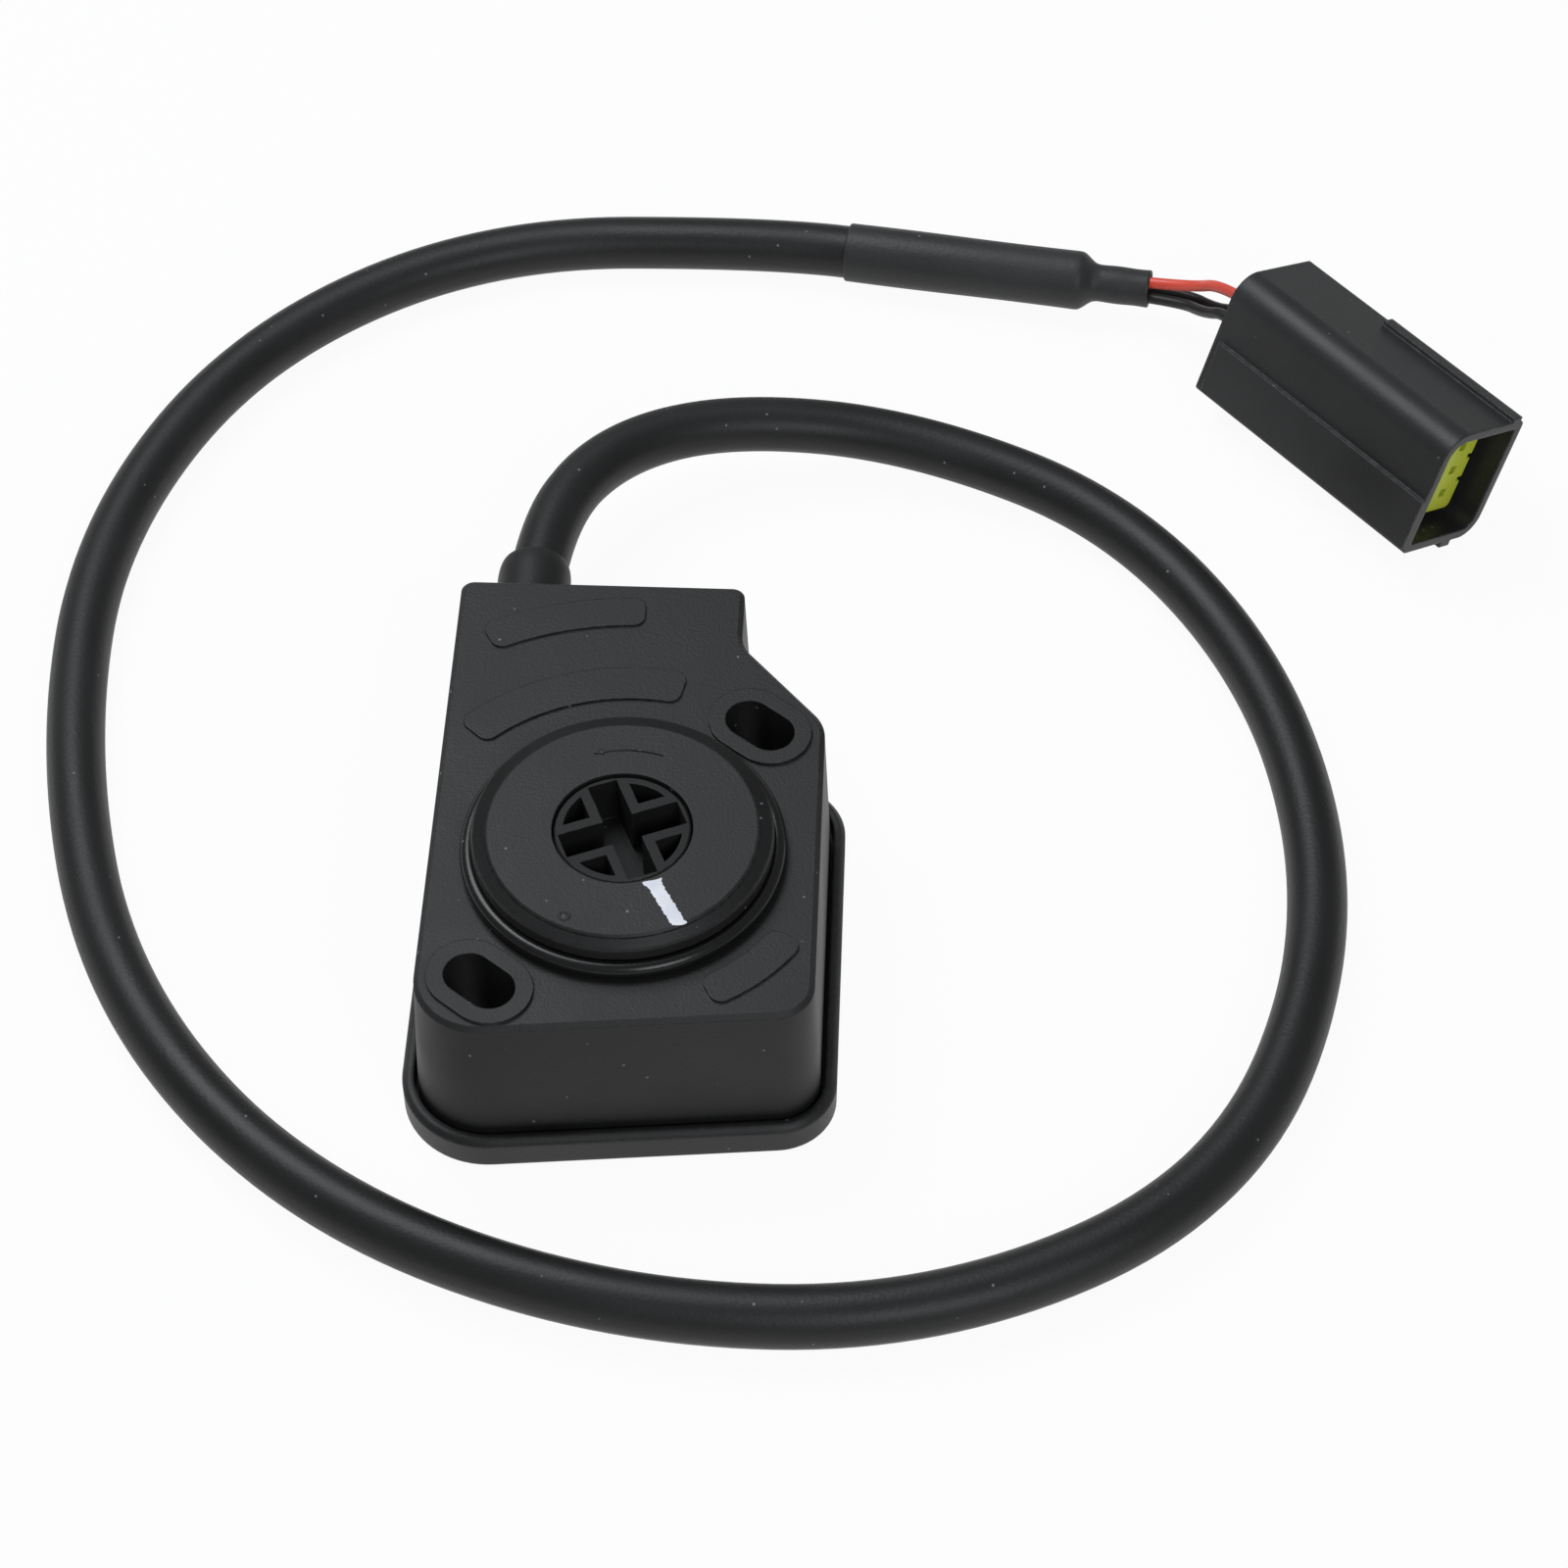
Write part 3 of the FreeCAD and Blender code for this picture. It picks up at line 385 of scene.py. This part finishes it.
def math_node(tree, operation, first, second, clamp=False):
    """Math node whose two inputs are each a socket or a number; returns its output."""
    node = tree.nodes.new("ShaderNodeMath")
    node.operation = operation
    node.use_clamp = clamp
    for socket, value in zip(node.inputs, (first, second)):
        if isinstance(value, (int, float)):
            socket.default_value = value
        else:
            tree.links.new(value, socket)
    return node.outputs[0]


def spread(tree, value, low, high):
    """Map Range node that takes low..high to 0..1 and holds it there; low above high turns it round."""
    node = tree.nodes.new("ShaderNodeMapRange")
    node.inputs["From Min"].default_value = low
    node.inputs["From Max"].default_value = high
    tree.links.new(value, node.inputs["Value"])
    return node.outputs["Result"]


def noise(tree, scale, detail):
    """Noise on Object coordinates; scale is a number or a socket, in waves per metre."""
    place = tree.nodes.new("ShaderNodeTexCoord")
    node = tree.nodes.new("ShaderNodeTexNoise")
    node.inputs["Detail"].default_value = detail
    tree.links.new(place.outputs["Object"], node.inputs["Vector"])
    if isinstance(scale, (int, float)):
        node.inputs["Scale"].default_value = scale
    else:
        tree.links.new(scale, node.inputs["Scale"])
    return node.outputs["Fac"]


grain_group, given, result = new_group("moulded_grain", [("Fineness", 2500.0)], ["Height", "Tone"])
fine = noise(grain_group, given.outputs["Fineness"], 3.0)
broad_scale = math_node(grain_group, "MULTIPLY", given.outputs["Fineness"], 0.03)
grain_group.links.new(fine, result.inputs["Height"])
broad = noise(grain_group, broad_scale, 4.0)
grain_group.links.new(spread(grain_group, broad, 0.3, 0.7), result.inputs["Tone"])

wear_group, given, result = new_group("rubbed_edges", [("Radius", 0.0004), ("Fineness", 900.0)], ["Mask"])
rounded = wear_group.nodes.new("ShaderNodeBevel")
rounded.samples = 4
wear_group.links.new(given.outputs["Radius"], rounded.inputs["Radius"])
true_normal = wear_group.nodes.new("ShaderNodeNewGeometry")
facing = wear_group.nodes.new("ShaderNodeVectorMath")
facing.operation = "DOT_PRODUCT"
wear_group.links.new(rounded.outputs["Normal"], facing.inputs[0])
wear_group.links.new(true_normal.outputs["Normal"], facing.inputs[1])
edge = spread(wear_group, facing.outputs["Value"], 0.985, 0.88)
patchy = spread(wear_group, noise(wear_group, given.outputs["Fineness"], 5.0), 0.45, 0.68)
wear_group.links.new(math_node(wear_group, "MULTIPLY", edge, patchy, True), result.inputs["Mask"])

speck_group, given, result = new_group("pale_specks", [("Fineness", 700.0), ("Share", 0.06)], ["Mask"])
speck_place = speck_group.nodes.new("ShaderNodeTexCoord")
cells = speck_group.nodes.new("ShaderNodeTexVoronoi")
speck_group.links.new(speck_place.outputs["Object"], cells.inputs["Vector"])
speck_group.links.new(given.outputs["Fineness"], cells.inputs["Scale"])
dot = spread(speck_group, cells.outputs["Distance"], 0.16, 0.08)
pick = speck_group.nodes.new("ShaderNodeSeparateColor")
speck_group.links.new(cells.outputs["Color"], pick.inputs["Color"])
chosen = math_node(speck_group, "LESS_THAN", pick.outputs["Red"], given.outputs["Share"])
speck_group.links.new(math_node(speck_group, "MULTIPLY", dot, chosen), result.inputs["Mask"])
print("groups", [g.name for g in (grain_group, wear_group, speck_group)])

# %% [markdown]
# ## Black mouldings and rubbers
# Housing, cover, rotor, plug, sheath and seals are all black, yet each reflects a little differently. One
# recipe takes the shade, the gloss, the size of the grain and how far edges are rounded. A Bevel node
# rounds the normals at sharp edges, as a real moulding is rounded, and feeds the Bump node that adds the
# grain. The ledge round the pilot's disc is shaded as a sloping flank, which is why it looks dark in front
# and light behind.

# %% Recipe for black finishes
def placed_group(tree, group, **values):
    """Group node in a material, with its inputs set by name."""
    node = tree.nodes.new("ShaderNodeGroup")
    node.node_tree = group
    for label, value in values.items():
        node.inputs[label].default_value = value
    return node


def blend_colour(tree, share, first, second):
    """Colour mix; first and second are sockets or plain colours, share is a socket."""
    node = tree.nodes.new("ShaderNodeMix")
    node.data_type = "RGBA"
    tree.links.new(share, node.inputs[0])
    for socket, value in ((node.inputs[6], first), (node.inputs[7], second)):
        if isinstance(value, tuple):
            socket.default_value = (*value, 1.0)
        else:
            tree.links.new(value, socket)
    return node.outputs[2]


def rough_range(tree, tone, low, high):
    """Roughness that runs from low to high with the tone."""
    return math_node(tree, "ADD", math_node(tree, "MULTIPLY", tone, high - low), low)


def new_material(name):
    """Material with its tree and its Principled shader."""
    material = bpy.data.materials.new(name)
    material.use_nodes = True
    return material, material.node_tree, material.node_tree.nodes["Principled BSDF"]


def grain_bump(tree, shader, height, depth, edge_radius):
    """Bump of the given depth in metres over normals that are rounded at sharp edges."""
    bump = tree.nodes.new("ShaderNodeBump")
    bump.inputs["Strength"].default_value = 1.0
    bump.inputs["Distance"].default_value = depth
    tree.links.new(height, bump.inputs["Height"])
    if edge_radius > 0:
        rounding = tree.nodes.new("ShaderNodeBevel")
        rounding.samples = 6
        rounding.inputs["Radius"].default_value = edge_radius
        tree.links.new(rounding.outputs["Normal"], bump.inputs["Normal"])
    tree.links.new(bump.outputs["Normal"], shader.inputs["Normal"])


rubbed_grey = (0.2, 0.2, 0.2)
dust_grey = (0.45, 0.45, 0.46)
dust_share = 0.35


def black_finish(name, dark, light, gloss, fineness, depth,
                 edge_radius=0.0, wear=0.3, specks=0.05, reach=0.0002):
    """Black moulding: tone from dark to light, roughness in the gloss range, worn edges and specks."""
    material, tree, shader = new_material(name)
    grain = placed_group(tree, grain_group, Fineness=fineness)
    colour = blend_colour(tree, grain.outputs["Tone"], (dark,) * 3, (light, light, light * 1.03))
    if wear > 0:
        worn = placed_group(tree, wear_group, Radius=max(edge_radius, reach))
        rubbed = math_node(tree, "MULTIPLY", worn.outputs["Mask"], wear)
        colour = blend_colour(tree, rubbed, colour, rubbed_grey)
    dust = placed_group(tree, speck_group, Share=specks)
    dusty = math_node(tree, "MULTIPLY", dust.outputs["Mask"], dust_share)
    colour = blend_colour(tree, dusty, colour, dust_grey)
    tree.links.new(colour, shader.inputs["Base Color"])
    tree.links.new(rough_range(tree, grain.outputs["Tone"], *gloss), shader.inputs["Roughness"])
    shader.inputs["Specular IOR Level"].default_value = 0.35
    grain_bump(tree, shader, grain.outputs["Height"], depth, edge_radius)
    return material


housing_moulding = black_finish(
    "housing_moulding", 0.009, 0.014, (0.46, 0.56), 2600, 0.00004, 0.00025, 0.14, reach=0.0004)
mark_moulding = black_finish("mark_moulding", 0.012, 0.018, (0.38, 0.46), 2600, 0.00002, 0.0, 0.0)
cover_moulding = black_finish("cover_moulding", 0.014, 0.02, (0.42, 0.52), 2600, 0.00003, 0.0009, 0.12)
rotor_moulding = black_finish("rotor_moulding", 0.006, 0.01, (0.6, 0.7), 3000, 0.00003, 0.0002)
plug_moulding = black_finish("plug_moulding", 0.02, 0.028, (0.4, 0.5), 2200, 0.00003, 0.0005, 0.35)
cable_sheath = black_finish("cable_sheath", 0.009, 0.013, (0.42, 0.5), 1800, 0.00004, 0.0, 0.0, 0.07)
sleeve_film = black_finish("sleeve_film", 0.024, 0.034, (0.46, 0.56), 1500, 0.00006, 0.0, 0.0, 0.04)
gland_rubber = black_finish("gland_rubber", 0.01, 0.014, (0.46, 0.56), 2000, 0.00003, 0.0, 0.0)
ring_rubber = black_finish("ring_rubber", 0.007, 0.01, (0.2, 0.28), 2400, 0.00001, 0.0, 0.0, 0.02)
seal_rubber = black_finish("seal_rubber", 0.014, 0.02, (0.5, 0.6), 2400, 0.00002, 0.0, 0.0, 0.02)
black_insulation = black_finish("black_insulation", 0.016, 0.022, (0.36, 0.46), 2600, 0.00001, 0.0, 0.0, 0.03)
track_ink = black_finish("track_ink", 0.01, 0.02, (0.35, 0.5), 3500, 0.00001, 0.0, 0.0, 0.0)


def vector_node(tree, operation, first, second=None):
    """Vector Math node whose inputs are sockets or plain vectors."""
    node = tree.nodes.new("ShaderNodeVectorMath")
    node.operation = operation
    tree.links.new(first, node.inputs[0])
    if isinstance(second, tuple):
        node.inputs[1].default_value = second
    elif second is not None:
        tree.links.new(second, node.inputs[1])
    return node


flank_lean = 0.8
disc_edge = (0.016, 0.0165)
disc_foot = (0.02945, 0.0293)
groove_top = (0.0273, 0.0274)


def pilot_flank(tree, normal):
    """Normal that leans outwards on the ledge round the disc: normal + lean * outward, made one long."""
    place = tree.nodes.new("ShaderNodeTexCoord").outputs["Object"]
    split = tree.nodes.new("ShaderNodeSeparateXYZ")
    tree.links.new(place, split.inputs["Vector"])
    flat = vector_node(tree, "MULTIPLY", place, (1.0, 1.0, 0.0)).outputs["Vector"]
    past_disc = spread(tree, vector_node(tree, "LENGTH", flat).outputs["Value"], *disc_edge)
    below_disc = spread(tree, split.outputs["Z"], *disc_foot)
    above_groove = spread(tree, split.outputs["Z"], *groove_top)
    beside_disc = math_node(tree, "MULTIPLY", past_disc, below_disc)
    on_ledge = math_node(tree, "MULTIPLY", beside_disc, above_groove)
    lean = vector_node(tree, "SCALE", vector_node(tree, "NORMALIZE", flat).outputs["Vector"])
    tree.links.new(math_node(tree, "MULTIPLY", on_ledge, flank_lean), lean.inputs["Scale"])
    leaning = vector_node(tree, "ADD", normal, lean.outputs["Vector"])
    return vector_node(tree, "NORMALIZE", leaning.outputs["Vector"]).outputs["Vector"]


housing_tree = housing_moulding.node_tree
rounding = next(node for node in housing_tree.nodes if node.type == "BEVEL")
bump = next(node for node in housing_tree.nodes if node.type == "BUMP")
housing_tree.links.new(pilot_flank(housing_tree, rounding.outputs["Normal"]), bump.inputs["Normal"])
print("black finishes made")

# %% [markdown]
# ## Coloured and metal finishes
# The red insulation and the yellow-green lock are smooth plastics with a slight cloud in their colour.
# White paint is brushed on, so it is thin in streaks. Inside the sensor there is bronze, spring steel,
# tinned brass and a lacquered circuit board.

# %% Coloured plastics and paint
def coloured_plastic(name, colour, deep, gloss, fineness, edge_radius=0.0):
    """Coloured plastic that clouds from its deep shade to its full colour, with a fine bump."""
    material, tree, shader = new_material(name)
    grain = placed_group(tree, grain_group, Fineness=fineness)
    tree.links.new(blend_colour(tree, grain.outputs["Tone"], deep, colour), shader.inputs["Base Color"])
    tree.links.new(rough_range(tree, grain.outputs["Tone"], *gloss), shader.inputs["Roughness"])
    grain_bump(tree, shader, grain.outputs["Height"], 0.00002, edge_radius)
    return material


red_insulation = coloured_plastic(
    "red_insulation", (0.88, 0.11, 0.07), (0.76, 0.075, 0.045), (0.35, 0.45), 2400)
lock_plastic = coloured_plastic(
    "lock_plastic", (0.62, 0.68, 0.06), (0.52, 0.58, 0.04), (0.35, 0.45), 2200, 0.0002)
white_paint = coloured_plastic("white_paint", (0.86, 0.87, 0.92), (0.68, 0.7, 0.78), (0.45, 0.6), 9000)
print("coloured finishes", red_insulation.name, lock_plastic.name, white_paint.name)


# %% Metals and circuit board
def metal_finish(name, colour, dull, gloss, fineness):
    """Metal whose colour and roughness drift between a bright and a dull state."""
    material, tree, shader = new_material(name)
    grain = placed_group(tree, grain_group, Fineness=fineness)
    tree.links.new(blend_colour(tree, grain.outputs["Tone"], dull, colour), shader.inputs["Base Color"])
    tree.links.new(rough_range(tree, grain.outputs["Tone"], *gloss), shader.inputs["Roughness"])
    shader.inputs["Metallic"].default_value = 1.0
    grain_bump(tree, shader, grain.outputs["Height"], 0.00001, 0.0)
    return material


bush_bronze = metal_finish("bush_bronze", (0.6, 0.4, 0.22), (0.45, 0.29, 0.16), (0.35, 0.5), 3000)
spring_steel = metal_finish("spring_steel", (0.62, 0.62, 0.63), (0.48, 0.48, 0.5), (0.25, 0.38), 2600)
contact_tin = metal_finish("contact_tin", (0.74, 0.66, 0.5), (0.6, 0.52, 0.38), (0.22, 0.35), 2600)
board_lacquer = coloured_plastic("board_lacquer", (0.05, 0.2, 0.09), (0.03, 0.13, 0.06), (0.25, 0.35), 1400)
print("metals", bush_bronze.name, spring_steel.name, contact_tin.name)

# %% [markdown]
# ## Dressing the pieces
# Every node of the model and every new piece takes its finish here, in one table, so that a change of
# finish is a change of one line.

# %% Assign finishes
finish_of = {
    "housing": housing_moulding, "base_cover": cover_moulding, "cover_seal": seal_rubber,
    "pilot_seal_ring": ring_rubber, "rotor_bush": bush_bronze, "rotor": rotor_moulding,
    "rotor_seal": seal_rubber, "wiper_carrier": rotor_moulding, "retaining_clip": spring_steel,
    "return_spring": spring_steel, "wiper": contact_tin, "circuit_board": board_lacquer,
    "resistor_tracks": track_ink, "board_screws": spring_steel, "board_terminals": contact_tin,
    "inner_lead_red": red_insulation, "inner_leads_black": black_insulation,
    "cable_gland": gland_rubber, "cable": cable_sheath, "shrink_sleeve": sleeve_film,
    "red_wire": red_insulation, "black_wires": black_insulation, "plug_shell": plug_moulding,
    "contact_block": plug_moulding, "plug_lock": lock_plastic, "plug_contacts": contact_tin,
    "wire_seals": seal_rubber, "way_blanks": seal_rubber,
}
for name, node in nodes.items():
    node.material_slots[0].material = finish_of[name]
for piece, finish in (
    (cable, cable_sheath), (red_wire, red_insulation), (left_wire, black_insulation),
    (right_wire, black_insulation), (sleeve, sleeve_film), (gland, gland_rubber), (seal_ring, ring_rubber),
    (arrow, mark_moulding), (pip, mark_moulding), (paint, white_paint), (spring, spring_steel),
):
    piece.data.materials.append(finish)
print("finishes on", len(finish_of), "nodes")

# %% [markdown]
# ## Studio
# The sensor lies on a white table in soft light. The floor shows itself as white to the camera and to
# reflections through the Light Path node, and mixes in its own lit surface so that a faint shadow stays
# under the object.

# %% Floor, world and lamps
floor_mesh = bpy.data.meshes.new("table")
floor_mesh.from_pydata([(-4, -4, 0), (4, -4, 0), (4, 4, 0), (-4, 4, 0)], [], [(0, 1, 2, 3)])
floor = bpy.data.objects.new("table", floor_mesh)
table_gap = 0.2 * MM
floor.location.z = -table_gap
scene.collection.objects.link(floor)


def seen_directly(tree):
    """1 for camera, mirror and see-through rays, 0 for rays that carry light to other surfaces."""
    path = tree.nodes.new("ShaderNodeLightPath")
    mirror = math_node(tree, "MAXIMUM", path.outputs["Is Glossy Ray"], path.outputs["Is Transmission Ray"])
    return math_node(tree, "MAXIMUM", path.outputs["Is Camera Ray"], mirror)


table_white, tree, shader = new_material("table_white")
shader.inputs["Base Color"].default_value = (0.8, 0.8, 0.8, 1.0)
shader.inputs["Roughness"].default_value = 0.9
glow = tree.nodes.new("ShaderNodeEmission")
glow.inputs["Color"].default_value = (1.0, 1.0, 1.0, 1.0)
glow.inputs["Strength"].default_value = 1.0
mix = tree.nodes.new("ShaderNodeMixShader")
shown_white = 0.94
tree.links.new(math_node(tree, "MULTIPLY", seen_directly(tree), shown_white), mix.inputs["Fac"])
tree.links.new(shader.outputs["BSDF"], mix.inputs[1])
tree.links.new(glow.outputs["Emission"], mix.inputs[2])
tree.links.new(mix.outputs["Shader"], tree.nodes["Material Output"].inputs["Surface"])
floor_mesh.materials.append(table_white)

world = bpy.data.worlds.new("studio")
scene.world = world
world.use_nodes = True
sky = world.node_tree.nodes["Background"]
sky.inputs["Color"].default_value = (0.95, 0.975, 1.0, 1.0)
world_seen = world.node_tree.nodes.new("ShaderNodeLightPath")
sky_light = 0.25
shown_extra = math_node(world.node_tree, "MULTIPLY", world_seen.outputs["Is Camera Ray"], 1 - sky_light)
strength = math_node(world.node_tree, "ADD", shown_extra, sky_light)
world.node_tree.links.new(strength, sky.inputs["Strength"])
lamp_colour = (0.94, 0.97, 1.0)


def soft_box(name, place, aim, size, power):
    """Square area lamp that faces its aim point."""
    lamp = bpy.data.lights.new(name, "AREA")
    lamp.size = size
    lamp.energy = power
    lamp.color = lamp_colour
    box = bpy.data.objects.new(name, lamp)
    scene.collection.objects.link(box)
    box.location = place
    box.rotation_euler = (Vector(aim) - Vector(place)).to_track_quat("-Z", "Y").to_euler()
    return box


soft_box("back_box", (-0.25, 0.32, 0.76), (0.0, 0.05, 0.0), 0.5, 4.6)
soft_box("front_box", (0.3, -0.6, 0.55), (0.0, 0.0, 0.0), 0.35, 2.3)
scene.view_settings.view_transform = "Standard"
print("studio ready")
